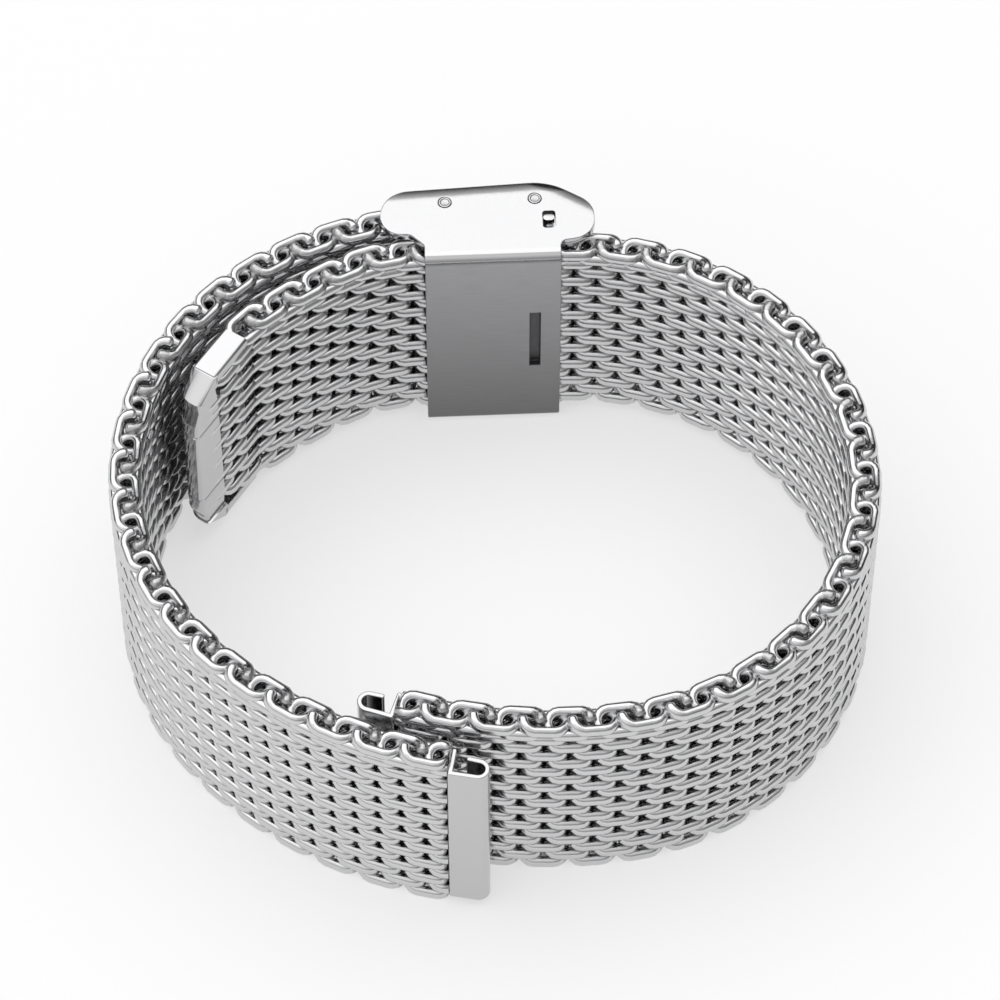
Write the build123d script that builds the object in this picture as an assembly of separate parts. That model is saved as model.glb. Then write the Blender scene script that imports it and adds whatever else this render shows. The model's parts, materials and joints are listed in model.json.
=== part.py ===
from build123d import *
import math
import os

# A woven mesh watch band in two halves, held in a ring by its sliding clasp.
# Millimetres. Z runs along the width of the band, X along the clasp, and Y from
# the wrist side of the clasp plate outwards. The band stands on one edge.

# Band
band_width = 20.0
mesh_thickness = 2.6
spiral_pitch = 1.85
spirals_per_link = 4
hinge_gap = 0.08

# Ring: how far the lug ends pass each other, and the radii of the stretches as shares of its own
lug_overlap = 8.0

# Long half, from the clasp round to its lug end
long_half_links = (4, 5, 2)
long_half_radius_shares = (0.847, 0.836, 1.41)
long_half_end_spirals = 1

# Short half, from its hook round to its lug end
short_half_links = (2, 5, 2)
short_half_radius_shares = (0.969, 0.893, 1.297)
short_half_end_spirals = 3
short_half_lean_deg = 7.9

# Tail of the long half, past the clasp and inside the short half
tail_links = (1, 1)
tail_radius_shares = (0.565, 1.79, 0.298)
tail_end_spirals = 1

# Clasp sheet: a plate on the wrist side with a wing along each edge of the band
plate_length = 10.8
sheet = 0.8
wing_gap = 0.3
mesh_seat_gap = 0.1
wing_overhang_left = 3.4
wing_overhang_right = 2.8
wing_margin = 0.55
wing_drop_left = 0.6
wing_upper_end_share = 0.57
wing_lower_end_share = 0.42
wing_brow_slope = 3.55
wing_brow_drop = 2.3
wing_brow_radius = 5.0
wing_nose_radius = 2.2
wing_chin_radius = 1.9
neck_height = 1.6
neck_slope = 1.1
neck_corner_radius = 0.6
shoulder_rise_left = 1.1
shoulder_rise_right = 0.35
fold_radius = 0.9

# Slot pressed into the plate for opening the lock
slot_length = 7.2
slot_width = 0.85
slot_depth = 0.55
slot_inset = 2.06

# Pins across the clasp
pin_radius = 0.5
pin_clearance = 0.02
pin_dimple_radius = 0.35
pin_dimple_depth = 0.1
hook_pin_inset = 1.77
cover_pin_inset = 1.87

# Lock lever: a plate over the clamped mesh, with a flat ear in a window of each wing
window_length = 1.06
window_height = 1.7
window_inset = 0.83
window_rise = 0.2
lever_seat_gap = 0.15
lever_thickness = 0.5
lever_end_gap = 0.33
lever_side_gap = 0.3
ear_length = 0.9
ear_height = 0.6
lever_rib_height = 0.25
lever_rib_width = 0.6
lever_rib_place = 3.0

# Hook of the short half
hook_clearance = 0.1
hook_wall = 0.5
hook_mouth_width = 0.95
hook_side_gap = 2.0
hook_neck_length = 1.6
hook_block_length = 2.775
hook_over_mesh_gap = 1.15

# Cover over the clasp, turning on the pin at the right
cover_thickness = 0.5
cover_gap = 0.1
cover_past_hook_pin = 1.07
cover_past_cover_pin = 0.87
cover_ear_thickness = 0.6
cover_ear_radius = 0.9
cover_ear_gap = 0.8
cover_side_gap = 0.25
cover_lip_length = 1.4
cover_edge_radius = 0.2

# Lug ends: a wall across the mesh and a curled channel for a spring bar
lug_height = 18.2
lug_sheet = 0.38
lug_channel_length = 2.7
lug_channel_depth = 1.95
lug_outward_shift = 0.15
lug_curl_radius = 0.7
lug_curl_end_deg = 75.0
lug_lip_length = 1.5
lug_lip_lift = 0.5

# Tip of the tail: a bar across the end of the mesh, with a flap folded over each edge of it
tip_length = 7.3
tip_thickness = 2.15
tip_height_margin = 0.3
tip_grip = 0.44
tip_flap_length = 4.4
tip_flap_depth = 1.0
tip_step = 0.35
tip_outer_radius = 1.3
tip_inner_radius = 0.4

# One overrun for all cuts
overrun = 1.0

# Along the clasp
half_mesh = mesh_thickness / 2
half_plate = plate_length / 2
clamped_length = round(plate_length / spiral_pitch) * spiral_pitch
wing_reach_left = half_plate + wing_overhang_left
wing_reach_right = half_plate + wing_overhang_right
hook_pin_x = hook_pin_inset - half_plate
cover_pin_x = half_plate - cover_pin_inset
window_x = half_plate - window_inset
slot_x = half_plate - slot_inset

# Up from the plate, layer by layer
mesh_middle_y = sheet + mesh_seat_gap + half_mesh
mesh_outer_y = mesh_middle_y + half_mesh
lever_axis_y = mesh_outer_y + lever_seat_gap + lever_thickness / 2
window_y = mesh_outer_y + window_rise
hook_bore_radius = pin_radius + hook_clearance
hook_radius = hook_bore_radius + hook_wall
hook_pin_y = mesh_outer_y + hook_over_mesh_gap + hook_radius
cover_pin_y = lever_axis_y + lever_thickness / 2 + cover_ear_gap + cover_ear_radius
cover_seat = hook_pin_y + hook_radius + cover_gap
wing_height = cover_seat + wing_margin
shoulder_height_left = neck_height + shoulder_rise_left
shoulder_height_right = neck_height + shoulder_rise_right
wing_end_height = wing_height - wing_drop_left - shoulder_height_left

# Along the band
link_length = spirals_per_link * spiral_pitch
hook_reach = hook_neck_length + hook_block_length
long_end_length = (long_half_end_spirals + 1 / 2) * spiral_pitch
short_end_length = (short_half_end_spirals + 1 / 2) * spiral_pitch
tail_end_length = (tail_end_spirals + 1 / 2) * spiral_pitch - tip_grip
long_half_length = sum(long_half_links) * link_length + long_end_length
short_half_length = hook_reach + sum(short_half_links) * link_length + short_end_length
ring_length = long_half_length + clamped_length + short_half_length - lug_overlap
ring_radius = ring_length / (2 * math.pi)

# Across the band
wing_outer = wing_gap + sheet
middle_z = band_width / 2


def left_of(heading):
    """Unit vector to the left of a heading in radians."""
    return Vector(-math.sin(heading), math.cos(heading))


def ahead_of(heading):
    """Unit vector along a heading in radians."""
    return Vector(math.cos(heading), math.sin(heading))


def travel(point, heading, length, radius, side):
    """Point and heading after an arc of the centreline; side is 1 to the left, -1 to the right."""
    centre = point + left_of(heading) * (side * radius)
    new_heading = heading + side * length / radius
    return centre - left_of(new_heading) * (side * radius), new_heading


def local(point, heading, along, across):
    """Point given by its distances along and to the left of a heading."""
    return point + ahead_of(heading) * along + left_of(heading) * across


def band_face(point, heading, length, radius, side):
    """Plan of a curved stretch of mesh, square at both ends."""
    middle, middle_heading = travel(point, heading, length / 2, radius, side)
    end, end_heading = travel(point, heading, length, radius, side)
    left_edge = ThreePointArc(
        local(point, heading, 0, half_mesh),
        local(middle, middle_heading, 0, half_mesh),
        local(end, end_heading, 0, half_mesh),
    )
    right_edge = ThreePointArc(
        local(end, end_heading, 0, -half_mesh),
        local(middle, middle_heading, 0, -half_mesh),
        local(point, heading, 0, -half_mesh),
    )
    far_edge = Line(left_edge @ 1, right_edge @ 0)
    near_edge = Line(right_edge @ 1, left_edge @ 0)
    return make_face([left_edge, far_edge, right_edge, near_edge])


def mesh_link(point, heading, length, radius, side, with_socket):
    """A stretch of mesh: a round nose turns in the socket of the stretch before it."""
    end, _ = travel(point, heading, length, radius, side)
    plan = band_face(point, heading, length, radius, side)
    plan += Pos(point.X, point.Y) * Circle(half_mesh)
    if with_socket:
        plan -= Pos(end.X, end.Y) * Circle(half_mesh + hinge_gap)
    return extrude(plan, band_width)


def half_chain(name, start, heading, side, links, radius_shares, end_length):
    """Links of one half from its hinge at start; gives solids, hinges and the mesh end."""
    solids = {}
    hinges = []
    radius_of_link = []
    for count, share in zip(links, radius_shares):
        radius_of_link += [share * ring_radius] * count
    lengths = [link_length] * len(radius_of_link) + [end_length]
    radius_of_link.append(radius_shares[-1] * ring_radius)
    point = start
    for index, (length, radius) in enumerate(zip(lengths, radius_of_link)):
        with_socket = index < len(lengths) - 1
        solids[f"{name}_{index + 1:02d}"] = mesh_link(point, heading, length, radius, side, with_socket)
        hinges.append(point)
        point, heading = travel(point, heading, length, radius, side)
    return solids, hinges, point, heading


def lug_end(point, heading, outer):
    """Wall across the mesh end and a channel curled from it; outer is 1 if outside is to the left."""
    inner_v = lug_outward_shift - lug_channel_depth / 2
    outer_v = lug_outward_shift + lug_channel_depth / 2
    tip_u = lug_channel_length - lug_curl_radius
    turn_v = outer_v - lug_curl_radius

    def place(u, v):
        return (u + lug_sheet / 2, outer * v)

    def on_curl(angle_deg):
        angle = math.radians(angle_deg)
        along = tip_u + lug_curl_radius * math.cos(angle)
        return place(along, turn_v + lug_curl_radius * math.sin(angle))

    wall = Line(place(0, inner_v), place(0, outer_v))
    floor = Line(wall @ 1, place(tip_u, outer_v))
    curl = ThreePointArc(floor @ 1, on_curl((90 - lug_curl_end_deg) / 2), on_curl(-lug_curl_end_deg))
    lip = Line(curl @ 1, place(lug_channel_length - lug_lip_length, inner_v + lug_lip_lift))
    strip = offset(Wire([wall, floor, curl, lip]), lug_sheet / 2)
    plan = make_face(strip.edges())
    solid = Pos(0, 0, middle_z) * extrude(plan, lug_height / 2, both=True)
    return Pos(point.X, point.Y) * Rot(0, 0, math.degrees(heading)) * solid


def clasp_wing():
    """Outline of a wing, from the wrist side of the plate up and round, with its corners rounded."""
    brow_x = wing_reach_right - wing_brow_slope
    rounded = [
        ((-half_plate, neck_height), neck_corner_radius),
        ((-half_plate - neck_slope, shoulder_height_left), neck_corner_radius),
        ((-wing_reach_left, shoulder_height_left), wing_lower_end_share * wing_end_height),
        ((-wing_reach_left, wing_height - wing_drop_left), wing_upper_end_share * wing_end_height),
        ((brow_x, wing_height), wing_brow_radius),
        ((wing_reach_right, wing_height - wing_brow_drop), wing_nose_radius),
        ((wing_reach_right, shoulder_height_right), wing_chin_radius),
        ((half_plate, neck_height), neck_corner_radius),
    ]
    corners = [(-half_plate, 0), *[place for place, _ in rounded], (half_plate, 0)]
    face = make_face(Polyline(*corners, close=True))
    for place, radius in rounded:
        corner = face.vertices().sort_by_distance(place)[0]
        face = fillet(corner, radius)
    return face


def clasp_body():
    """Plate and two wings in one sheet, with the slot, windows and pin holes."""
    outline = clasp_wing()
    for place_x, place_y in ((hook_pin_x, hook_pin_y), (cover_pin_x, cover_pin_y)):
        outline -= Pos(place_x, place_y) * Circle(pin_radius + pin_clearance)
    window = RectangleRounded(window_length, window_height, window_length / 4)
    outline -= Pos(window_x, window_y) * window
    lower = Pos(0, 0, -wing_outer) * extrude(outline, sheet)
    upper = Pos(0, 0, band_width + wing_gap) * extrude(outline, sheet)
    plate_height = band_width + 2 * wing_outer
    align = (Align.CENTER, Align.MIN, Align.MIN)
    plate = Pos(0, 0, -wing_outer) * Box(plate_length, sheet, plate_height, align=align)
    body = plate + lower + upper
    folds = [
        edge
        for edge in body.edges().filter_by(Axis.X)
        if abs(edge.center().Y) < pin_clearance and abs(edge.center().Z - middle_z) > middle_z
    ]
    body = fillet(folds, fold_radius)
    slot = Box(slot_width, slot_depth + overrun, slot_length, align=(Align.CENTER, Align.MAX, Align.CENTER))
    return body - Pos(slot_x, slot_depth, middle_z) * slot


def cross_pin(place_x, place_y):
    """Riveted pin through both wings, with a dimple in each end."""
    length = band_width + 2 * wing_outer
    pin = Pos(0, 0, -wing_outer) * extrude(Circle(pin_radius), length)
    dimple = extrude(Circle(pin_dimple_radius), pin_dimple_depth + overrun)
    pin -= Pos(0, 0, band_width + wing_outer - pin_dimple_depth) * dimple
    pin -= Pos(0, 0, -wing_outer - overrun) * dimple
    return Pos(place_x, place_y) * pin


def lock_lever():
    """Plate over the clamped mesh with a gripping rib and an ear at each end of its axis."""
    height = band_width - 2 * lever_side_gap
    align = (Align.MAX, Align.CENTER, Align.MIN)
    length = window_x - hook_pin_x - hook_radius - lever_end_gap
    plate = Box(length, lever_thickness, height, align=align)
    plate += extrude(Circle(lever_thickness / 2), height)
    rib = Box(lever_rib_width, lever_rib_height, height, align=(Align.CENTER, Align.MIN, Align.MIN))
    plate += Pos(-lever_rib_place, lever_thickness / 2, 0) * rib
    plate = Pos(0, 0, lever_side_gap) * plate
    ear = Pos(0, 0, -wing_outer) * extrude(SlotOverall(ear_length, ear_height), band_width + 2 * wing_outer)
    return Pos(window_x, lever_axis_y) * (plate + ear)


def clasp_cover():
    """Outer lid with an ear on the pin at each end and a thin lip to lift it by."""
    height = band_width - 2 * cover_side_gap
    left = hook_pin_x - cover_past_hook_pin
    length = cover_pin_x + cover_past_cover_pin - left
    align = (Align.MIN, Align.MIN, Align.MIN)
    lid = Pos(left, cover_seat, cover_side_gap) * Box(length, cover_thickness, height, align=align)
    lid = fillet(lid.edges().filter_by(Axis.Z).group_by(Axis.Y)[-1], cover_edge_radius)
    ear_plan = Pos(cover_pin_x, cover_pin_y) * Circle(cover_ear_radius)
    web_height = cover_seat + cover_edge_radius - cover_pin_y
    web = Rectangle(2 * cover_ear_radius, web_height, align=(Align.CENTER, Align.MIN))
    ear_plan += Pos(cover_pin_x, cover_pin_y) * web
    ear = extrude(ear_plan, cover_ear_thickness)
    top_ear = band_width - cover_side_gap - cover_ear_thickness
    lid += Pos(0, 0, cover_side_gap) * ear
    lid += Pos(0, 0, top_ear) * ear
    bore = Pos(cover_pin_x, cover_pin_y) * Circle(pin_radius + hinge_gap)
    lid -= Pos(0, 0, -overrun) * extrude(bore, band_width + 2 * overrun)
    notch = Box(cover_lip_length, cover_thickness, height, align=(Align.CENTER, Align.CENTER, Align.MIN))
    notch_y = cover_seat + cover_thickness
    return lid - Pos(left, notch_y, cover_side_gap) * notch


def short_half_hook(pin, heading):
    """Hook that hangs on its pin, with a block that holds the first link of the short half."""
    plan = Circle(hook_radius)
    plan += Pos(hook_neck_length / 2, 0) * Rectangle(hook_neck_length, 2 * hook_radius)
    block = Rectangle(hook_block_length, mesh_thickness, align=(Align.MIN, Align.CENTER))
    plan += Pos(hook_neck_length, 0) * block
    plan -= Circle(hook_bore_radius)
    mouth = Rectangle(hook_radius + overrun, hook_mouth_width, align=(Align.MIN, Align.CENTER))
    plan -= Rot(0, 0, 180) * mouth
    plan -= Pos(hook_reach, 0) * Circle(half_mesh + hinge_gap)
    solid = Pos(0, 0, hook_side_gap) * extrude(plan, band_width - 2 * hook_side_gap)
    return Pos(pin.X, pin.Y) * Rot(0, 0, math.degrees(heading)) * solid


def clamped_mesh():
    """Straight mesh held in the clasp, with a socket at each end."""
    plan = Pos(0, mesh_middle_y) * Rectangle(clamped_length, mesh_thickness)
    for place_x in (-clamped_length / 2, clamped_length / 2):
        plan -= Pos(place_x, mesh_middle_y) * Circle(half_mesh + hinge_gap)
    return extrude(plan, band_width)


def tail_tip(point, heading):
    """Bar across the tail with a flap over the mesh at each edge; the bar is a step shorter."""
    plan = Pos(tip_length / 2, 0) * Rectangle(tip_length, tip_thickness)
    end_corners = plan.vertices().group_by(Axis.X)[-1].sort_by(Axis.Y)
    plan = fillet(end_corners[0], tip_outer_radius)
    inner_corner = plan.vertices().group_by(Axis.X)[-1].sort_by(Axis.Y)[-1]
    plan = fillet(inner_corner, tip_inner_radius)
    height = band_width - 2 * tip_height_margin
    cap = Pos(0, 0, tip_height_margin) * extrude(plan, height)
    past_flap = tip_length - tip_flap_length + overrun
    cut_width = tip_thickness + 2 * overrun
    cut = Box(past_flap, cut_width, tip_step + overrun, align=(Align.MIN, Align.CENTER, Align.MIN))
    cap -= Pos(tip_flap_length, 0, band_width - tip_height_margin - tip_step) * cut
    cap -= Pos(tip_flap_length, 0, tip_height_margin - overrun) * cut
    between_flaps = height - 2 * tip_flap_depth
    align = (Align.MAX, Align.CENTER, Align.CENTER)
    cut = Box(tip_flap_length + overrun, cut_width, between_flaps, align=align)
    cap -= Pos(tip_flap_length, 0, middle_z) * cut
    return Pos(point.X, point.Y) * Rot(0, 0, math.degrees(heading)) * cap


def mesh_in_tip(point, heading):
    """Straight mesh between the flaps of the tip, up to its bar."""
    height = band_width - 2 * (tip_height_margin + tip_flap_depth)
    align = (Align.MIN, Align.CENTER, Align.CENTER)
    mesh = Pos(0, 0, middle_z) * Box(tip_flap_length, mesh_thickness, height, align=align)
    return Pos(point.X, point.Y) * Rot(0, 0, math.degrees(heading)) * mesh


def build_nodes():
    """All nodes by name, with the hinge points and headings that the joints need."""
    nodes = {}
    clasp_right = Vector(clamped_length / 2, mesh_middle_y)
    clasp_left = Vector(-clamped_length / 2, mesh_middle_y)
    hook_pin = Vector(hook_pin_x, hook_pin_y)
    hook_heading = math.radians(180 + short_half_lean_deg)
    short_start = local(hook_pin, hook_heading, hook_reach, 0)

    nodes["clasp_body"] = clasp_body()
    nodes["clamped_mesh"] = clamped_mesh()
    nodes["hook_pin"] = cross_pin(hook_pin_x, hook_pin_y)
    nodes["cover_pin"] = cross_pin(cover_pin_x, cover_pin_y)
    nodes["lock_lever"] = lock_lever()
    nodes["clasp_cover"] = clasp_cover()
    nodes["short_half_hook"] = short_half_hook(hook_pin, hook_heading)

    long_half, long_hinges, long_end, long_heading = half_chain(
        "long_half_link", clasp_right, 0, -1, long_half_links, long_half_radius_shares, long_end_length
    )
    short_half, short_hinges, short_end, short_heading = half_chain(
        "short_half_link",
        short_start,
        hook_heading,
        1,
        short_half_links,
        short_half_radius_shares,
        short_end_length,
    )
    tail, tail_hinges, tail_end, tail_heading = half_chain(
        "tail_link", clasp_left, math.pi, 1, tail_links, tail_radius_shares, tail_end_length
    )
    nodes.update(long_half)
    nodes.update(short_half)
    nodes.update(tail)
    nodes["long_half_lug_end"] = lug_end(long_end, long_heading, 1)
    nodes["short_half_lug_end"] = lug_end(short_end, short_heading, -1)
    nodes[list(tail)[-1]] += mesh_in_tip(tail_end, tail_heading)
    nodes["tail_tip"] = tail_tip(tail_end, tail_heading)

    places = {
        "long_hinges": long_hinges,
        "short_hinges": short_hinges,
        "tail_hinges": tail_hinges,
        "hook_pin": hook_pin,
        "cover_pin": Vector(cover_pin_x, cover_pin_y),
        "lever_axis": Vector(window_x, lever_axis_y),
        "long_end": long_end,
        "long_heading": long_heading,
        "short_end": short_end,
        "short_heading": short_heading,
    }
    return nodes, places


nodes, places = build_nodes()
boxes = [solid.bounding_box() for solid in nodes.values()]
lowest = Vector(*(min(getattr(box.min, axis) for box in boxes) for axis in "XYZ"))
highest = Vector(*(max(getattr(box.max, axis) for box in boxes) for axis in "XYZ"))
origin = Vector((lowest.X + highest.X) / 2, (lowest.Y + highest.Y) / 2, lowest.Z)

os.makedirs("parts", exist_ok=True)
for node_name, node_solid in nodes.items():
    placed = Pos(-origin.X, -origin.Y, -origin.Z) * node_solid
    export_step(placed, f"parts/{node_name}.step")
print("origin", origin, "size", highest - lowest)
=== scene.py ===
import json
import math

import bmesh
import bpy
import numpy as np
from mathutils import Euler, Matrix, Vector


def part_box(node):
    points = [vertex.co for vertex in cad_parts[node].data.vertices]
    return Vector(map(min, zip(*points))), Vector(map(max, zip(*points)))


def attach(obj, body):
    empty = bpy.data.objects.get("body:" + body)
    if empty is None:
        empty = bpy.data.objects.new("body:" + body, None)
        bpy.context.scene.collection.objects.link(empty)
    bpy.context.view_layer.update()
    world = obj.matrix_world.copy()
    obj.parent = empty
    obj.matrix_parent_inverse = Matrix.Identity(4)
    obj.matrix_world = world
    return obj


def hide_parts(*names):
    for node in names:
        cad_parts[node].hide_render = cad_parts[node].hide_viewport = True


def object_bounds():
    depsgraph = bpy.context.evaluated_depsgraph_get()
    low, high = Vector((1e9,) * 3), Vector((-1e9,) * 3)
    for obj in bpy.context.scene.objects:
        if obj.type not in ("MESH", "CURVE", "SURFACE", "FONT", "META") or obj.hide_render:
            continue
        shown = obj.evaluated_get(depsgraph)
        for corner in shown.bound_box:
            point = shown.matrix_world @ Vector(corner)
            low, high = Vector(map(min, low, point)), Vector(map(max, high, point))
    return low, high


# A woven steel mesh band in two halves, closed in a ring by its clasp. It stands on one
# edge, on a pale floor. Sizes are written in millimetres and turned to metres by MM.

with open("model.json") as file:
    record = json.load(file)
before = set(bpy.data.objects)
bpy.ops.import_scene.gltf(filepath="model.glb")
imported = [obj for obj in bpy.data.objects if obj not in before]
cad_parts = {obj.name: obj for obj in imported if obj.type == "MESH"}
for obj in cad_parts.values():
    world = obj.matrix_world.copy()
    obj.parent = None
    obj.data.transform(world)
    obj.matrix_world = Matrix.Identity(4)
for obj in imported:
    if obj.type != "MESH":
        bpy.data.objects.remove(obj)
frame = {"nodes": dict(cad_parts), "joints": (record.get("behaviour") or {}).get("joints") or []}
cad_box = [list(corner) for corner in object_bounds()]

MM = 0.001

# Places in the clasp, in its own axes: along the band, out from the wrist and up

PLATE_MIDDLE = 8.8 * MM
MESH_BOTTOM = 1.1 * MM
MESH_WIDTH = 20.0 * MM
MESH_MIDDLE_OUT = 2.2 * MM

clasp_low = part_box("clasp_body")[0]
clasp_zero = np.array(clasp_low) + np.array([PLATE_MIDDLE, 0.0, MESH_BOTTOM])


def place_in_clasp(x, y, z):
    """Point given in the clasp's own axes, in metres, as a point of the frame."""
    return clasp_zero + np.array([x, y, z])


def ahead(angle):
    """Unit direction of a heading in the plane."""
    return np.array([math.cos(angle), math.sin(angle)])


# Materials

# Where most of the values of a noise lie
NOISE_LOW = 0.3
NOISE_HIGH = 0.7

# The grain's own relief is this part of the wave's, and its bump is this strong.
GRAIN_HEIGHT_SHARE = 0.25
GRAIN_STRENGTH = 0.5

# The wing's far edge in millimetres, from its left end to its brow and on to its right end
WING_FAR_EDGE = ((-8.8, 6.9), (4.65, 7.5), (8.2, 5.2))
RIM_WIDTH = 1.15 * MM
RIM_DROP = 0.16 * MM


def edge_line(start, end):
    """Point on a straight edge of the wing, and the direction away from the sheet, from the two
    corners of the edge in millimetres."""
    along = np.array(end) - np.array(start)
    along = along / np.linalg.norm(along)
    return place_in_clasp(end[0] * MM, end[1] * MM, 0.0), (-along[1], along[0], 0.0)


def linear(hex_colour):
    """sRGB hex colour as linear RGBA."""
    parts = [int(hex_colour[i : i + 2], 16) / 255 for i in (1, 3, 5)]
    return [c / 12.92 if c <= 0.04045 else ((c + 0.055) / 1.055) ** 2.4 for c in parts] + [1.0]


def add_node(tree, kind, inputs=None, **settings):
    """Adds a node. An input is a number or a colour, or another node's output, which is linked."""
    made = tree.nodes.new(kind)
    for key, value in settings.items():
        setattr(made, key, value)
    for key, value in (inputs or {}).items():
        socket = made.inputs[key]
        if isinstance(value, bpy.types.NodeSocket):
            tree.links.new(value, socket)
        else:
            socket.default_value = value
    return made


def new_material(name):
    """Empty node material with its output node."""
    material = bpy.data.materials.new(name)
    material.use_nodes = True
    material.node_tree.nodes.clear()
    output = material.node_tree.nodes.new("ShaderNodeOutputMaterial")
    return material, material.node_tree, output


def per_metre(size_mm):
    """Noise scale whose features are about this size on Object coordinates in metres."""
    return 1000.0 / size_mm


def rolled_rim(tree, place, normal, point, outward):
    """Normal of a sheet that falls by RIM_DROP over RIM_WIDTH, with the square of the distance
    from where the fall begins, towards a straight edge through a point."""
    past = add_node(tree, "ShaderNodeVectorMath", {0: place, 1: point}, operation="SUBTRACT")
    past = add_node(
        tree, "ShaderNodeVectorMath", {0: past.outputs[0], 1: outward}, operation="DOT_PRODUCT"
    )
    share = add_node(
        tree,
        "ShaderNodeMapRange",
        {"Value": past.outputs["Value"], "From Min": -RIM_WIDTH, "From Max": 0.0},
    )
    fall = add_node(
        tree, "ShaderNodeMath", {0: share.outputs["Result"], 1: 2.0}, operation="POWER"
    )
    bent = add_node(
        tree,
        "ShaderNodeBump",
        {"Height": fall.outputs[0], "Normal": normal, "Strength": 1.0, "Distance": RIM_DROP},
        invert=True,
    )
    return bent.outputs["Normal"]


def steel(
    name,
    colour,
    roughness,
    spread,
    grain_mm,
    wave_mm,
    wave_height_mm,
    stretch=(1, 1, 1),
    painted_shade_colour=None,
    rims=(),
):
    """Steel whose roughness and height vary with a fine grain and a longer wave. The grain is
    drawn at a tenth of a millimetre or more, coarser than the real polishing marks, to show.
    A scale below one in stretch makes the grain longer along that axis. A painted shade colour
    blends in towards the bottom of the band. Rims are lines of edges that the press rolled over."""
    material, tree, output = new_material(name)
    place = add_node(tree, "ShaderNodeTexCoord").outputs["Object"]
    base = linear(colour)
    # Painted shade: the colour darkens towards the bottom of the band.
    if painted_shade_colour:
        height = add_node(tree, "ShaderNodeSeparateXYZ", {"Vector": place})
        level = add_node(
            tree,
            "ShaderNodeMapRange",
            {
                "Value": height.outputs["Z"],
                "From Min": clasp_zero[2],
                "From Max": clasp_zero[2] + MESH_WIDTH,
            },
        )
        blend = add_node(
            tree,
            "ShaderNodeMixRGB",
            {"Fac": level.outputs["Result"], "Color1": linear(painted_shade_colour), "Color2": base},
        )
        base = blend.outputs["Color"]
    stretched = add_node(tree, "ShaderNodeMapping", {"Vector": place, "Scale": stretch})
    grain = add_node(
        tree,
        "ShaderNodeTexNoise",
        {"Vector": stretched.outputs["Vector"], "Scale": per_metre(grain_mm), "Detail": 3.0},
    )
    wave = add_node(
        tree, "ShaderNodeTexNoise", {"Vector": place, "Scale": per_metre(wave_mm), "Detail": 2.0}
    )
    rough = add_node(
        tree,
        "ShaderNodeMapRange",
        {
            "Value": grain.outputs["Fac"],
            "From Min": NOISE_LOW,
            "From Max": NOISE_HIGH,
            "To Min": roughness - spread,
            "To Max": roughness + spread,
        },
    )
    swell = add_node(
        tree,
        "ShaderNodeBump",
        {"Height": wave.outputs["Fac"], "Strength": 1.0, "Distance": wave_height_mm * MM},
    )
    marks = add_node(
        tree,
        "ShaderNodeBump",
        {
            "Height": grain.outputs["Fac"],
            "Normal": swell.outputs["Normal"],
            "Strength": GRAIN_STRENGTH,
            "Distance": wave_height_mm * MM * GRAIN_HEIGHT_SHARE,
        },
    )
    normal = marks.outputs["Normal"]
    for point, outward in rims:
        normal = rolled_rim(tree, place, normal, point, outward)
    shader = add_node(
        tree,
        "ShaderNodeBsdfPrincipled",
        {
            "Base Color": base,
            "Metallic": 1.0,
            "Roughness": rough.outputs["Result"],
            "Normal": normal,
        },
    )
    tree.links.new(shader.outputs["BSDF"], output.inputs["Surface"])
    return material


# Drawn stainless wire, woven and barrel polished: clear streaks, a little uneven along its length.
wire_steel = steel(
    "polished_drawn_wire",
    "#CFCFD0",
    roughness=0.18,
    spread=0.06,
    grain_mm=0.18,
    wave_mm=0.9,
    wave_height_mm=0.014,
)

# The same wire deep inside the weave, which the polish doesn't reach: dull, and painted dark grey
# as the shade in the gaps between the wires.
weave_shade_steel = steel(
    "weave_gap_painted_shade",
    "#5A5A5C",
    roughness=0.42,
    spread=0.08,
    grain_mm=0.18,
    wave_mm=0.9,
    wave_height_mm=0.014,
)

# Wire ends melted to a bead and left as cast: small pits and a duller, broken shine.
weld_steel = steel(
    "welded_wire_end",
    "#B4B4B4",
    roughness=0.3,
    spread=0.12,
    grain_mm=0.16,
    wave_mm=0.3,
    wave_height_mm=0.05,
)

# Stainless sheet, stamped and buffed: near a mirror, with a slight swell.
BUFFED_FINISH = {
    "colour": "#C4C4C5",
    "roughness": 0.16,
    "spread": 0.04,
    "grain_mm": 0.25,
    "wave_mm": 4.0,
    "wave_height_mm": 0.012,
}
buffed_steel = steel("buffed_stamped_sheet", **BUFFED_FINISH)

# The same sheet in the clasp, whose far edges the press rolled over: they mirror the dark room.
wing_rims = [edge_line(*WING_FAR_EDGE[:2]), edge_line(*WING_FAR_EDGE[1:])]
wing_steel = steel("buffed_sheet_with_rolled_rim", **BUFFED_FINISH, rims=wing_rims)

# The wrist side of the same sheet, brushed with a fine belt along the band: a soft grey sheen. Its
# colour is darker than the buffed sheet, partly for the brushing and partly as painted shade, and
# the painted shade deepens towards the lower wing, where the plate mirrors the floor's shadow.
brushed_and_shaded_steel = steel(
    "belt_brushed_sheet_painted_shade",
    "#A9A9AB",
    roughness=0.45,
    spread=0.08,
    grain_mm=0.1,
    wave_mm=6.0,
    wave_height_mm=0.005,
    stretch=(0.05, 1, 1),
    painted_shade_colour="#787879",
)

# Sheet that neither belt nor buff reaches, in the slot and the windows: rough, and painted dark
# grey as the shade of these recesses.
recess_shade_steel = steel(
    "slot_and_window_painted_shade",
    "#5C5C5E",
    roughness=0.5,
    spread=0.08,
    grain_mm=0.15,
    wave_mm=1.0,
    wave_height_mm=0.004,
)

# Turned pins, riveted over and left satin: a soft highlight.
pin_steel = steel(
    "turned_pin",
    "#BDBDBD",
    roughness=0.26,
    spread=0.05,
    grain_mm=0.2,
    wave_mm=1.0,
    wave_height_mm=0.008,
)


# Meshes worked out with numpy


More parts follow.
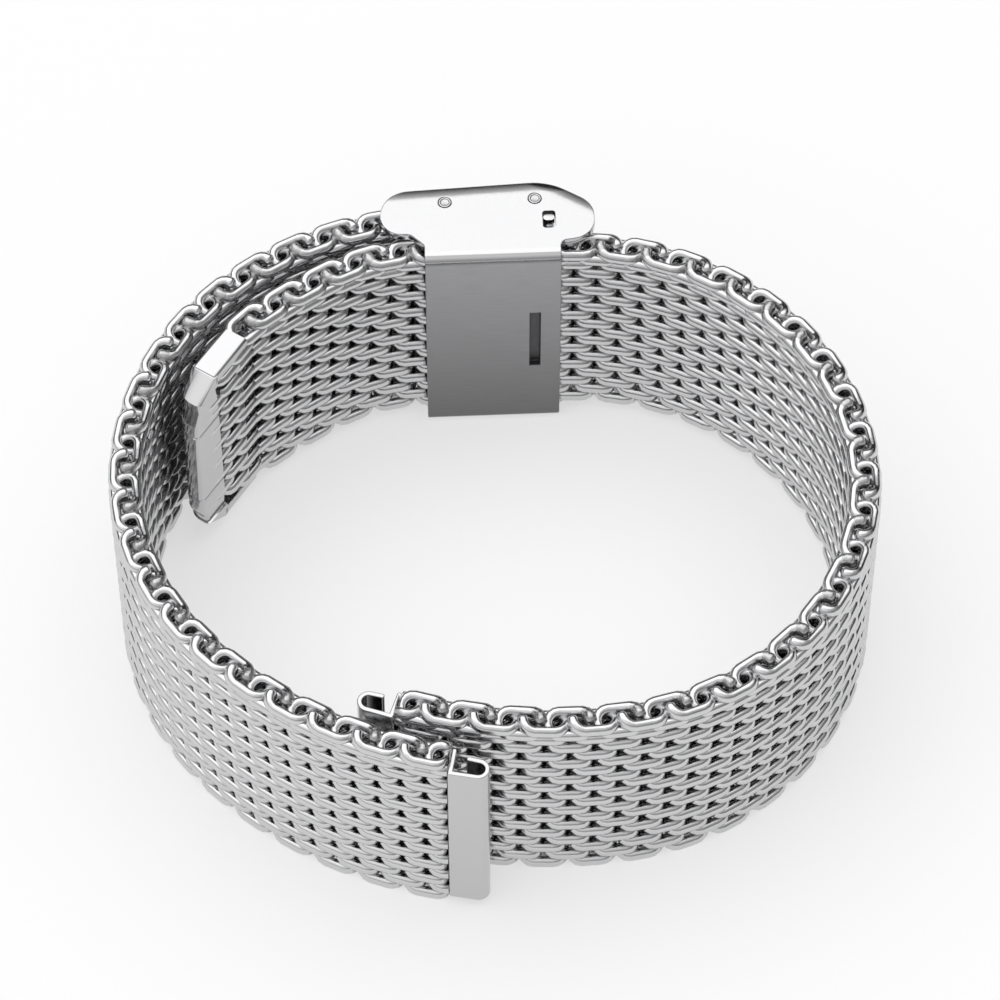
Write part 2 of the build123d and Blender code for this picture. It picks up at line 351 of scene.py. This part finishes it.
def mesh_object(name, points, faces, materials, face_material=None):
    """Mesh object at the origin from arrays of points and faces, shaded smooth."""
    mesh = bpy.data.meshes.new(name)
    mesh.from_pydata(points.reshape(-1, 3).tolist(), [], faces)
    for material in materials:
        mesh.materials.append(material)
    if face_material is not None:
        mesh.polygons.foreach_set("material_index", face_material.astype(np.int32))
    mesh.polygons.foreach_set("use_smooth", np.ones(len(mesh.polygons), bool))
    mesh.update()
    made = bpy.data.objects.new(name, mesh)
    bpy.context.scene.collection.objects.link(made)
    return made


def tube_faces(rings, sides):
    """Quads between neighbouring rings of a closed profile."""
    ring = np.arange(rings - 1)[:, None] * sides
    side = np.arange(sides)[None, :]
    after = (side + 1) % sides
    quads = np.stack([ring + side, ring + after, ring + sides + after, ring + sides + side], -1)
    return quads.reshape(-1, 4)


def end_faces(rings, sides):
    """The two faces that close a tube, across its first and its last ring."""
    return [list(range(sides - 1, -1, -1)), list(range((rings - 1) * sides, rings * sides))]


# Weave: flattened wire spirals across the band, each hooked through its neighbours

SPIRAL_SPACING = 1.85 * MM
SPIRALS_PER_LINK = 4
WIRE_RADIUS = 0.41 * MM
WIRE_TALLNESS = 1.27
BEND_RADIUS = 0.877 * MM
STRAIGHT_HALF = 0.74 * MM
TURN_PITCH = 2.26 * MM
FIRST_TURN_SHARE = 0.48
LAST_PASS_SHARE = 8.44
FIRST_END_RISE = 0.2 * MM
FALL_EASING = 0.8
WIRE_SIDES = 10
RINGS_PER_BEND = 8

# Beads at the cut ends of the wire, whose look reaches two rings back from the end
BEAD_RADIUS = 0.5 * MM
BEAD_REACH = 1.3 * MM
BEAD_LENGTH_SHARE = 0.6
BEAD_FULLNESS = 0.7
BEAD_TIP_SHARE = 0.02
BEAD_RINGS = 4
BEAD_FACE_RINGS = BEAD_RINGS + 2

# Materials of a woven piece, by their place in its list
WELD = 1
WEAVE_SHADE = 2

# The core is the wire nearer the middle of the mesh than this share of the bend's radius, and more
# turns than this from both of its ends. It is painted dark as the shade inside the weave.
CORE_SHARE = 0.55
CORE_TURNS = 0.7


def spiral_path(last_pass_share, depth_share):
    """Centreline of one spiral in its own axes (right, out, up).

    Level passes lie on the outer and the inner face in turn. Half circles join them, and the
    height falls there: the first turn by a share of the pitch, every later turn by the pitch.
    Within a bend the height falls slowly, then fast, then slowly, as the angle less a share of
    the sine of twice the angle. Both cut ends stop at mid thickness, the first a little above
    its pass. A spiral that is gripped by sheet has its depth pressed by a share.
    """
    passes = 3 + 2 * round(last_pass_share - FIRST_TURN_SHARE)
    index = np.arange(passes)
    late = FIRST_TURN_SHARE + (index - 2) / 2
    height = -np.where(index < 2, index * FIRST_TURN_SHARE / 2, late) * TURN_PITCH
    share = np.linspace(0, 1, RINGS_PER_BEND + 1)
    fall = share - FALL_EASING * np.sin(2 * np.pi * share) / (2 * np.pi)
    angle = np.pi * share
    # One bend from the outer pass at the right to the inner pass, then the same turned half round
    right = STRAIGHT_HALF + BEND_RADIUS * np.sin(angle)
    out = BEND_RADIUS * np.cos(angle)
    sign = np.where(index % 2 == 0, 1.0, -1.0)
    bends = np.stack(
        [
            sign[:-1, None] * right[None, :],
            sign[:-1, None] * out[None, :],
            height[:-1, None] + np.diff(height)[:, None] * fall[None, :],
        ],
        -1,
    ).reshape(-1, 3)
    # Quarter circles to the cut ends
    quarter = np.linspace(np.pi / 2, 0, RINGS_PER_BEND // 2 + 1)
    quarter_right = STRAIGHT_HALF + BEND_RADIUS * np.sin(quarter)
    quarter_out = BEND_RADIUS * np.cos(quarter)
    first_height = height[0] + FIRST_END_RISE * np.sin(quarter)
    lead_in = np.stack([-quarter_right, quarter_out, first_height], -1)
    last_height = np.full_like(quarter, height[-1])
    lead_out = np.stack([sign[-1] * quarter_right, sign[-1] * quarter_out, last_height], -1)
    path = np.concatenate([lead_in, bends, lead_out[::-1]])
    return path * [1.0, depth_share, 1.0]


def beaded(path):
    """Points and radii of a wire with a bead at each end. The radius swells smoothly to the
    bead's within BEAD_REACH of the end. Past the end come the rings of a short half ball: they
    step out with the sine of the turn and narrow with a power of its cosine."""
    length = np.concatenate([[0], np.cumsum(np.linalg.norm(np.diff(path, axis=0), axis=1))])
    from_end = np.minimum(length, length[-1] - length)
    swell = np.clip(1 - from_end / BEAD_REACH, 0, 1)
    swell = swell * swell * (3 - 2 * swell)
    radius = WIRE_RADIUS + (BEAD_RADIUS - WIRE_RADIUS) * swell
    turn = np.linspace(0, np.pi / 2, BEAD_RINGS + 1)[1:]
    step = BEAD_LENGTH_SHARE * BEAD_RADIUS * np.sin(turn)
    cap = BEAD_RADIUS * np.cos(turn) ** BEAD_FULLNESS
    cap[-1] = BEAD_RADIUS * BEAD_TIP_SHARE
    before = path[0] - path[1]
    before = before / np.linalg.norm(before)
    after = path[-1] - path[-2]
    after = after / np.linalg.norm(after)
    points = np.concatenate(
        [path[0] + before * step[::-1, None], path, path[-1] + after * step[:, None]]
    )
    return points, np.concatenate([cap[::-1], radius, cap])


def wire_surface(path, radius):
    """Oval profile carried along a path: each ring is the point plus the radius times the
    cosine and the tallness times the sine of the side angle, along two directions square to
    the path, the second near upright. The wire was pressed a little flat in the weaving."""
    along = np.gradient(path, axis=0)
    along /= np.linalg.norm(along, axis=1, keepdims=True)
    upright = np.array([0.0, 0.0, 1.0]) - along[:, 2:3] * along
    upright /= np.linalg.norm(upright, axis=1, keepdims=True)
    across = np.cross(along, upright)
    side = 2 * np.pi * np.arange(WIRE_SIDES) / WIRE_SIDES
    ring = (
        np.cos(side)[None, :, None] * across[:, None, :]
        + WIRE_TALLNESS * np.sin(side)[None, :, None] * upright[:, None, :]
    )
    return path[:, None, :] + radius[:, None, None] * ring


def spiral_shape(top, last_pass_share=LAST_PASS_SHARE, depth_share=1.0):
    """Points, faces and face materials of one spiral whose first pass lies a distance below the
    upper edge of the mesh. It is worked out once and used for every spiral of its sort. The last
    end looks welded on both kinds, and the first only on the kind that is turned half round."""
    path, radius = beaded(spiral_path(last_pass_share, depth_share))
    points = wire_surface(path, radius)
    rings, sides = points.shape[:2]
    ring_of_face = np.repeat(np.arange(rings - 1), sides)
    # Painted shade: the wire deep in the weave gets the dark material.
    inside = np.abs(path[:, 1]) < CORE_SHARE * BEND_RADIUS * depth_share
    below_top = path[:, 2] < -CORE_TURNS * TURN_PITCH
    above_low = path[:, 2] > path[-1, 2] + CORE_TURNS * TURN_PITCH
    weave_shade = WEAVE_SHADE * (inside & below_top & above_low)[:-1].astype(int)[ring_of_face]
    first_bead = WELD * (ring_of_face < BEAD_FACE_RINGS).astype(int)
    last_bead = WELD * (ring_of_face >= rings - 1 - BEAD_FACE_RINGS).astype(int)
    return {
        "points": points.reshape(-1, 3) + [0.0, 0.0, MESH_WIDTH - top],
        "faces": tube_faces(rings, sides),
        "materials": {1: weave_shade + last_bead, -1: weave_shade + last_bead + first_bead},
        "ends": end_faces(rings, sides),
    }


# The upper edge of the wire lies this far below the edge of the mesh's width.
EDGE_CLEARANCE = 0.12 * MM
EDGE_TOP = WIRE_RADIUS * WIRE_TALLNESS + EDGE_CLEARANCE

# The tail's last spirals are shorter: two reach into the tip's flaps, and its bar grips one.
FLAP_DEPTH = 1.0 * MM
GRIPPED_DEPTH_SHARE = 0.76
FULL_SPIRAL = spiral_shape(EDGE_TOP)
COVERED_SPIRAL = spiral_shape(EDGE_TOP + FLAP_DEPTH, LAST_PASS_SHARE - 1)
GRIPPED_SPIRAL = spiral_shape(
    EDGE_TOP + FLAP_DEPTH + TURN_PITCH, LAST_PASS_SHARE - 3, GRIPPED_DEPTH_SHARE
)

# The wall of a lug end starts this far before the middle of the last spiral, and what is
# pressed against it keeps this share of its depth past it.
WALL_GAP = 0.1 * MM
WALL_GIVE = 0.06


def woven_piece(name, body, nodes, spirals, wall=None):
    """One stretch of mesh. Each spiral is (x, y, right direction angle, kind, shape): kind 1 shows
    its first pass outside, kind -1 is the same spiral turned half round. Where a wall closes the
    stretch, given as a point and a direction, what passes it is pressed flat against it."""
    points = []
    faces = []
    face_material = []
    first = 0
    for x, y, angle, kind, shape in spirals:
        right = kind * np.array([math.cos(angle), math.sin(angle), 0.0])
        out = np.cross(right, [0.0, 0.0, 1.0])
        local = shape["points"]
        placed = np.array([x, y, clasp_zero[2]]) + local[:, :1] * right
        placed += local[:, 1:2] * out + local[:, 2:3] * [0.0, 0.0, 1.0]
        if wall:
            past = np.clip((placed[:, :2] - wall[0]) @ wall[1], 0, None)
            placed[:, :2] -= (1 - WALL_GIVE) * past[:, None] * wall[1]
        points.append(placed)
        faces += (shape["faces"] + first).tolist()
        faces += [[vertex + first for vertex in end] for end in shape["ends"]]
        face_material += [shape["materials"][kind], [WELD, WELD]]
        first += len(local)
    made = mesh_object(
        name,
        np.concatenate(points),
        faces,
        [wire_steel, weld_steel, weave_shade_steel],
        np.concatenate(face_material),
    )
    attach(made, body)
    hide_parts(*nodes)


# The mesh along its centreline

CLAMPED_SPIRALS = 6
TAIL_END_RADIUS = 7.81 * MM
TAIL_ARC_LENGTH = 2.335 * MM
TAIL_SHAPES = [FULL_SPIRAL, COVERED_SPIRAL, COVERED_SPIRAL, GRIPPED_SPIRAL]

joint_place = {joint["name"]: np.array(joint["pos_m"][:2]) for joint in frame["joints"]}


def hinges(prefix):
    """Hinge points of one chain, in order."""
    return np.array([joint_place[name] for name in sorted(joint_place) if name.startswith(prefix)])


def arc_place(start, heading, bend, along):
    """Point and heading after a length along an arc. The heading turns by the bend times the
    length, and the point moves by the change of the heading's sine and of its cosine with the
    sign changed, both divided by the bend."""
    angle = heading + bend * along
    x = start[0] + (math.sin(angle) - math.sin(heading)) / bend
    y = start[1] - (math.cos(angle) - math.cos(heading)) / bend
    return np.array([x, y]), angle


def woven_chain(chain, motion, first_heading, right_turn, first_kind, end_shapes, end_bend=None):
    """Spirals along a chain of arcs through its hinges, one piece for each link.

    Arcs join with no kink, so the heading after a link is twice the chord's angle less the
    heading before it. Spirals stand at half steps along each arc, and a spiral's right is
    turned from the heading by right_turn. The last link has a spiral for each of its end
    shapes. It keeps the bend of the link before and ends at a wall, or has the end bend over
    TAIL_ARC_LENGTH and is straight after it. Returns where the last link starts and its heading.
    """
    points = hinges(f"{chain}_{motion}_")
    link_length = SPIRALS_PER_LINK * SPIRAL_SPACING
    heading = first_heading
    kind = first_kind
    for index, start in enumerate(points):
        is_last = index + 1 == len(points)
        shapes = end_shapes if is_last else [FULL_SPIRAL] * SPIRALS_PER_LINK
        arc_length = link_length
        turn = 0.0
        if not is_last:
            chord = points[index + 1] - start
            turn = 2 * (math.atan2(chord[1], chord[0]) - heading)
            turn = (turn + math.pi) % (2 * math.pi) - math.pi
            bend = turn / link_length
        elif end_bend is not None:
            bend = end_bend
            arc_length = TAIL_ARC_LENGTH
        spirals = []
        for number, shape in enumerate(shapes):
            along = (number + 0.5) * SPIRAL_SPACING
            on_arc = min(along, arc_length)
            place, angle = arc_place(start, heading, bend, on_arc)
            place = place + (along - on_arc) * ahead(angle)
            spirals.append((*place, angle + right_turn, kind, shape))
            kind = -kind
        wall = None
        if is_last and end_bend is None:
            wall = (place - WALL_GAP * ahead(angle), ahead(angle))
        link = f"{chain}_link_{index + 1:02d}"
        woven_piece(f"woven_{link}", f"{chain}_{index + 1:02d}", [link], spirals, wall)
        heading += turn
    return start, heading


short_start = hinges("short_half_open_")[0] - joint_place["hook_swing"]
short_heading = math.atan2(short_start[1], short_start[0])
woven_chain(
    "long_half",
    "open",
    first_heading=0.0,
    right_turn=math.pi,
    first_kind=-1,
    end_shapes=[FULL_SPIRAL] * 2,
)
woven_chain(
    "short_half",
    "open",
    first_heading=short_heading,
    right_turn=0.0,
    first_kind=1,
    end_shapes=[FULL_SPIRAL] * 4,
)
tail_last, tail_heading = woven_chain(
    "tail",
    "curl",
    first_heading=math.pi,
    right_turn=0.0,
    first_kind=1,
    end_shapes=TAIL_SHAPES,
    end_bend=1 / TAIL_END_RADIUS,
)

clamped = []
for number in range(CLAMPED_SPIRALS):
    along = (CLAMPED_SPIRALS / 2 - 0.5 - number) * SPIRAL_SPACING
    place = place_in_clasp(along, MESH_MIDDLE_OUT, 0.0)[:2]
    clamped.append((*place, math.pi, 1 if number % 2 == 0 else -1, FULL_SPIRAL))
woven_piece("woven_clamped_mesh", "clasp", ["clamped_mesh"], clamped)


# Sheet pieces and pins: the solids with their edges eased

MERGE_DISTANCE = 0.001 * MM
FLAT_ANGLE = math.radians(0.3)
SHARP_ANGLE = math.radians(25)
BEVEL_SEGMENTS = 3

# A face is level when its normal points up or down by more than this, upright when by less than
# this, and on the wrist side when its normal points there by more than this.
LEVEL = 0.9
UPRIGHT = 0.5
WRISTWARD = 0.95


def finish_edges(made, edge_mm, limit, clamp=True):
    """Bevel of the sharp edges, with the flat faces kept flat in the shading."""
    bevel = made.modifiers.new("eased_edges", "BEVEL")
    bevel.width = edge_mm * MM
    bevel.segments = BEVEL_SEGMENTS
    bevel.limit_method = limit
    bevel.angle_limit = SHARP_ANGLE
    bevel.use_clamp_overlap = clamp
    normals = made.modifiers.new("flat_faces", "WEIGHTED_NORMAL")
    normals.keep_sharp = True


def eased_copy(node, body, materials, edge_mm, choose=None, share=None):
    """Copy of a node's solid with its corners merged and flat faces joined, and every sharp edge
    rounded. choose gives each face's material from its normal and middle, and share each edge's
    part of the rounding from its middle. A copy with shares is the clasp's: its short edges don't
    hold back the long ones, and its level faces are shaded flat."""
    mesh = bpy.data.meshes.new(f"eased_{node}")
    for material in materials:
        mesh.materials.append(material)
    shape = bmesh.new()
    shape.from_mesh(frame["nodes"][node].data)
    bmesh.ops.remove_doubles(shape, verts=shape.verts, dist=MERGE_DISTANCE)
    bmesh.ops.dissolve_limit(shape, angle_limit=FLAT_ANGLE, verts=shape.verts, edges=shape.edges)
    shape.normal_update()
    for face in shape.faces:
        face.smooth = not share or abs(face.normal.z) < LEVEL
        face.material_index = choose(face.normal, face.calc_center_median()) if choose else 0
    rounding = shape.edges.layers.float.new("bevel_weight_edge")
    for edge in shape.edges:
        if len(edge.link_faces) == 2 and edge.calc_face_angle() > SHARP_ANGLE:
            middle = (edge.verts[0].co + edge.verts[1].co) / 2
            edge[rounding] = share(middle) if share else 1.0
    shape.to_mesh(mesh)
    shape.free()
    made = bpy.data.objects.new(f"eased_{node}", mesh)
    bpy.context.scene.collection.objects.link(made)
    finish_edges(made, edge_mm, "WEIGHT", share is None)
    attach(made, body)
    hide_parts(node)


# Clasp body: how far the outer face of a wing lies past the mesh, the blind slot in the plate,
# the windows and the fold. A face or an edge within the margin of a place counts as there. The
# middle and the half size of the windows are in millimetres, in the clasp's own axes.
WING_FACE = 1.1 * MM
SHEET_MARGIN = 0.1 * MM
SLOT_FLOOR = 0.55 * MM
SLOT_X = 3.34 * MM
SLOT_REACH = 0.6 * MM
WINDOW_MIDDLE = (4.57, 3.7)
WINDOW_HALF = (0.6, 0.92)
FOLD_REACH = 0.5 * MM
FINE_SHARE = 0.3

# Materials of the clasp body, by their place in its list
BUFFED = 0
BRUSHED = 1
RECESS_SHADE = 2


def in_window(middle):
    """Whether a point lies within the windows for the lever's ears, seen from above."""
    x = (middle.x - clasp_zero[0]) / MM - WINDOW_MIDDLE[0]
    y = (middle.y - clasp_zero[1]) / MM - WINDOW_MIDDLE[1]
    return abs(x) < WINDOW_HALF[0] and abs(y) < WINDOW_HALF[1]


def fold_edge(middle):
    """The sheet turns round from the plate to each wing. Every other edge is cut and fine, and
    the punched windows are sharp."""
    if in_window(middle):
        return 0.0
    above = middle.z - clasp_zero[2] - MESH_WIDTH
    below = clasp_zero[2] - middle.z
    on_face = max(above, below) > WING_FACE - SHEET_MARGIN
    return 1.0 if on_face and middle.y < clasp_zero[1] + FOLD_REACH else FINE_SHARE


def wrist_side(normal, middle):
    """The plate's wrist face is brushed. The slot, with its walls, and the walls of the windows
    are painted dark grey as the shade of these recesses. Everything else on the clasp is buffed."""
    depth = middle.y - clasp_low.y
    beside_slot = abs(middle.x - clasp_zero[0] - SLOT_X) < SLOT_REACH
    on_slot_wall = beside_slot and SHEET_MARGIN / 2 < depth < SLOT_FLOOR - SHEET_MARGIN / 2
    on_window_wall = abs(normal.z) < UPRIGHT and in_window(middle)
    # These recesses get the dark grey of painted shade.
    if on_slot_wall or on_window_wall:
        return RECESS_SHADE
    if normal.y > -WRISTWARD or depth > SLOT_FLOOR + SHEET_MARGIN:
        return BUFFED
    return RECESS_SHADE if depth > SLOT_FLOOR - SHEET_MARGIN else BRUSHED


eased_copy(
    "clasp_body",
    "clasp",
    [wing_steel, brushed_and_shaded_steel, recess_shade_steel],
    edge_mm=0.3,
    choose=wrist_side,
    share=fold_edge,
)

# Node, body, slot, material and width of the rounded edge in millimetres
for node, body, slot, material, edge_mm in (
    ("clasp_cover", "cover", "clasp_sheet", buffed_steel, 0.1),
    ("lock_lever", "lock", "clasp_sheet", buffed_steel, 0.08),
    ("short_half_hook", "hook", "clasp_sheet", buffed_steel, 0.12),
    ("hook_pin", "clasp", "pin_steel", pin_steel, 0.06),
    ("cover_pin", "clasp", "pin_steel", pin_steel, 0.06),
    ("long_half_lug_end", "long_half_12", "end_sheet", buffed_steel, 0.1),
    ("short_half_lug_end", "short_half_10", "end_sheet", buffed_steel, 0.1),
):
    eased_copy(node, body, [material], edge_mm)


# Tip of the tail: two folded flaps and a wrapped bar

# Its length, half of its thickness, and the height of the upper flap's top over the mesh's
# lower edge. The flaps start where the tail's arc ends, and the bar starts a little inside them.
TIP_LENGTH = 7.3 * MM
TIP_HALF = 1.075 * MM
TIP_TOP = 19.7 * MM
TIP_SHEET = 0.3 * MM
TIP_OUTER_RADIUS = 1.3 * MM
TIP_INNER_RADIUS = 0.4 * MM
FLAP_LENGTH = 4.4 * MM
FLAP_CORNER = 0.3 * MM
FLAP_EDGE_MM = 0.06
BAR_OVERLAP = 0.3 * MM
BAR_START = FLAP_LENGTH - BAR_OVERLAP
BAR_EDGE_MM = 0.08

# Points on the rounded corners of a flap, and on the bar's outer and inner round
CORNER_POINTS = 6
OUTER_POINTS = 9
INNER_POINTS = 5

# The bar from its top to its bottom, mirrored in the middle: depth under the flap's top in
# millimetres, share of the bar's length, and inset of its plan in millimetres. A sloped cap
# ends in a step, and a crease lies lower down.
BAR_LEVELS = (
    (0.12, 0.12, 0.0),
    (1.5, 0.8, 0.0),
    (1.54, 0.8, 0.2),
    (2.6, 0.84, 0.14),
    (3.6, 1.0, 0.08),
    (5.2, 1.0, 0.08),
    (5.26, 1.0, 0.2),
    (5.4, 1.0, 0.2),
    (5.46, 1.0, 0.08),
    (7.3, 1.0, 0.08),
)

# The tip starts where the arc of the last link ends.
tip_place, tip_heading = arc_place(tail_last, tail_heading, 1 / TAIL_END_RADIUS, TAIL_ARC_LENGTH)
tip_zero = np.array([*tip_place, clasp_zero[2]])
tip_ahead = np.array([*ahead(tip_heading), 0.0])
tip_left = np.array([-tip_ahead[1], tip_ahead[0], 0.0])


def arc_points(centre, radius, start_deg, end_deg, count):
    """Points of an arc in a plane."""
    angle = np.radians(np.linspace(start_deg, end_deg, count))
    return np.stack([centre[0] + radius * np.cos(angle), centre[1] + radius * np.sin(angle)], -1)


def tip_piece(name, rings, edge_mm):
    """Closed surface through rings of (along, left, up) points in the tip's own axes."""
    local = np.array(rings)
    count, sides = local.shape[:2]
    points = tip_zero + local[..., :1] * tip_ahead + local[..., 1:2] * tip_left
    points = points + local[..., 2:] * [0, 0, 1.0]
    faces = tube_faces(count, sides).tolist() + end_faces(count, sides)
    made = mesh_object(name, points, faces, [buffed_steel])
    finish_edges(made, edge_mm, "ANGLE")
    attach(made, "tail_03")
    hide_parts("tail_tip")


def flap_rings(up):
    """Sheet folded over an edge of the mesh: a channel profile carried along the flap. up is 1
    at the upper edge and -1 at the lower."""
    wide = TIP_HALF - FLAP_CORNER
    inside = TIP_HALF - TIP_SHEET
    profile = np.concatenate(
        [
            arc_points((wide, -FLAP_CORNER), FLAP_CORNER, 0, 90, CORNER_POINTS),
            arc_points((-wide, -FLAP_CORNER), FLAP_CORNER, 90, 180, CORNER_POINTS),
            [(-TIP_HALF, -FLAP_DEPTH), (-inside, -FLAP_DEPTH), (-inside, -TIP_SHEET)],
            [(inside, -TIP_SHEET), (inside, -FLAP_DEPTH), (TIP_HALF, -FLAP_DEPTH)],
        ]
    )
    if up < 0:
        profile = profile[::-1] * [1, -1]
    profile[:, 1] += TIP_TOP if up > 0 else MESH_WIDTH - TIP_TOP
    return [np.insert(profile, 0, along, axis=1) for along in (0.0, FLAP_LENGTH)]


def bar_rings():
    """Bar across the tail: the plan outline lofted through levels, each shortened towards the
    flap by its share and inset, so that both ends slope like a roof."""
    bar = TIP_LENGTH - BAR_START
    inner_side = 2 * TIP_HALF
    outer_round = (bar - TIP_OUTER_RADIUS, TIP_OUTER_RADIUS)
    inner_round = (bar - TIP_INNER_RADIUS, inner_side - TIP_INNER_RADIUS)
    outline = np.concatenate(
        [
            [(0.0, 0.0)],
            arc_points(outer_round, TIP_OUTER_RADIUS, -90, 0, OUTER_POINTS),
            arc_points(inner_round, TIP_INNER_RADIUS, 0, 90, INNER_POINTS),
            [(0.0, inner_side)],
        ]
    )
    middle = np.array([bar / 2, TIP_HALF])
    rings = []
    for up in (1, -1):
        for depth_mm, length_share, inset_mm in BAR_LEVELS[::up]:
            plan = outline * [length_share, 1.0]
            plan = middle + (plan - middle) * (1 - inset_mm * MM / middle)
            height = TIP_TOP - depth_mm * MM
            if up < 0:
                height = MESH_WIDTH - height
            level = np.full(len(plan), height)
            ring = np.stack([BAR_START + plan[:, 0], plan[:, 1] - TIP_HALF, level], -1)
            rings.append(ring[::-1])
    return rings


tip_piece("tail_tip_upper_flap", flap_rings(1), FLAP_EDGE_MM)
tip_piece("tail_tip_lower_flap", flap_rings(-1), FLAP_EDGE_MM)
tip_piece("tail_tip_bar", bar_rings(), BAR_EDGE_MM)


# Floor

# Half the side of the floor, in metres
FLOOR_HALF = 4.0
FLOOR_GAP = 0.02 * MM
FLOOR_RISE_SHARE = 0.97
BAND_FRONT = cad_box[0][1]

# Part of the paper's own light in what the camera and the steel see of it
PAPER_GLOW = 0.55


def floor_height(y):
    """Height of the floor's plane, tilted under the band, which leans on the lower wing of its
    clasp and on the front edge of the mesh. The plane stays a little below both."""
    rise = MESH_BOTTOM * (clasp_low.y - y) / (clasp_low.y - BAND_FRONT)
    return rise * FLOOR_RISE_SHARE - FLOOR_GAP


# Matt white sweep paper. Seen directly or in the steel it is near white and keeps the shadow.
paper, tree, output = new_material("white_paper_sweep")
ray = add_node(tree, "ShaderNodeLightPath").outputs
seen = add_node(
    tree,
    "ShaderNodeMath",
    {0: ray["Is Camera Ray"], 1: ray["Is Glossy Ray"]},
    operation="MAXIMUM",
)
seen = add_node(
    tree,
    "ShaderNodeMath",
    {0: seen.outputs[0], 1: ray["Is Transmission Ray"]},
    operation="MAXIMUM",
)
glow_share = add_node(
    tree, "ShaderNodeMath", {0: seen.outputs[0], 1: PAPER_GLOW}, operation="MULTIPLY"
)
matt = add_node(tree, "ShaderNodeBsdfDiffuse", {"Color": linear("#FCFCFC")})
glow = add_node(tree, "ShaderNodeEmission", {"Color": linear("#FFFFFF"), "Strength": 1.0})
paper_mix = add_node(
    tree,
    "ShaderNodeMixShader",
    {0: glow_share.outputs[0], 1: matt.outputs["BSDF"], 2: glow.outputs["Emission"]},
)
tree.links.new(paper_mix.outputs["Shader"], output.inputs["Surface"])

corners = np.array([(-1, -1), (1, -1), (1, 1), (-1, 1)]) * FLOOR_HALF
floor_points = np.array([(x, y, floor_height(y)) for x, y in corners])
floor = mesh_object("floor", floor_points, [[0, 1, 2, 3]], [paper])


# Studio room

# Height of the direction and the room's colour there. In front it is an even pale grey. Behind
# it is dark low down, where the upper edges of the wires look, and pale above.
FRONT_ROOM = ((0.0, "#F4F4F4"), (0.1, "#A8A8A8"), (0.35, "#A4A4A4"), (0.75, "#E6E6E6"))
BACK_ROOM = (
    (0.0, "#F4F4F4"),
    (0.05, "#F0F0F0"),
    (0.12, "#161616"),
    (0.42, "#202020"),
    (0.7, "#DCDCDC"),
    (1.0, "#F0F0F0"),
)

# The front room gives way to the back one between these two depths of the direction.
BACK_STARTS = -0.1
BACK_IS_FULL = 0.3

# The left side shines over twice as bright as the right. The strength changes in between.
SIDE_REACH = 0.7
LEFT_STRENGTH = 1.72
RIGHT_STRENGTH = 0.69

world = bpy.data.worlds.new("studio_room")
world.use_nodes = True
bpy.context.scene.world = world
sky = world.node_tree
sky.nodes.clear()
direction = add_node(sky, "ShaderNodeTexCoord").outputs["Generated"]
looking = add_node(sky, "ShaderNodeSeparateXYZ", {"Vector": direction}).outputs


def height_ramp(stops):
    """Colour ramp over the height of the direction, from pairs of height and hex colour."""
    made = add_node(sky, "ShaderNodeValToRGB", {"Fac": looking["Z"]})
    elements = made.color_ramp.elements
    while len(elements) < len(stops):
        elements.new(0.5)
    for element, (position, colour) in zip(elements, stops):
        element.position = position
        element.color = linear(colour)
    return made.outputs["Color"]


behind = add_node(
    sky,
    "ShaderNodeMapRange",
    {"Value": looking["Y"], "From Min": BACK_STARTS, "From Max": BACK_IS_FULL},
)
around = add_node(
    sky,
    "ShaderNodeMixRGB",
    {
        "Fac": behind.outputs["Result"],
        "Color1": height_ramp(FRONT_ROOM),
        "Color2": height_ramp(BACK_ROOM),
    },
)
side = add_node(
    sky,
    "ShaderNodeMapRange",
    {
        "Value": looking["X"],
        "From Min": -SIDE_REACH,
        "From Max": SIDE_REACH,
        "To Min": LEFT_STRENGTH,
        "To Max": RIGHT_STRENGTH,
    },
)
room = add_node(
    sky,
    "ShaderNodeBackground",
    {"Color": around.outputs["Color"], "Strength": side.outputs["Result"]},
)
add_node(sky, "ShaderNodeOutputWorld", {"Surface": room.outputs["Background"]})


# Lamp

# Softbox above and behind the band, which faces its middle, sized and placed in metres
SOFTBOX_PLACE = Vector((0.0, 0.22, 0.75))
SOFTBOX_AIM = Vector((0.0, 0.0, 0.0))
SOFTBOX_WIDTH = 1.2
SOFTBOX_HEIGHT = 0.9
SOFTBOX_RADIANCE = 0.84

# Its power is the radiance times pi times its area.
lamp_data = bpy.data.lights.new("overhead_softbox", "AREA")
lamp_data.shape = "RECTANGLE"
lamp_data.size = SOFTBOX_WIDTH
lamp_data.size_y = SOFTBOX_HEIGHT
lamp_data.energy = SOFTBOX_RADIANCE * math.pi * SOFTBOX_WIDTH * SOFTBOX_HEIGHT
lamp = bpy.data.objects.new("overhead_softbox", lamp_data)
lamp.location = SOFTBOX_PLACE
lamp.rotation_euler = (SOFTBOX_AIM - SOFTBOX_PLACE).to_track_quat("-Z", "Y").to_euler()
bpy.context.scene.collection.objects.link(lamp)


# Camera

# Where the photograph was taken from, in the clasp's own axes in millimetres, and how it looks
CAMERA_PLACE_MM = (-10.17, -244.75, 350.23)
CAMERA_TILT = math.radians(34.0)
CAMERA_TURN = math.radians(-2.5)
LENS_MM = 187.2
SENSOR_MM = 36.0

camera_data = bpy.data.cameras.new("camera")
camera_data.sensor_width = SENSOR_MM
camera_data.lens = LENS_MM
camera_data.clip_start = 0.01
camera_data.clip_end = 20.0
camera = bpy.data.objects.new("camera", camera_data)
camera.location = place_in_clasp(*[part * MM for part in CAMERA_PLACE_MM])
camera.rotation_euler = Euler((CAMERA_TILT, 0.0, CAMERA_TURN))
bpy.context.scene.collection.objects.link(camera)
bpy.context.scene.camera = camera
bpy.context.scene.view_settings.view_transform = "Standard"
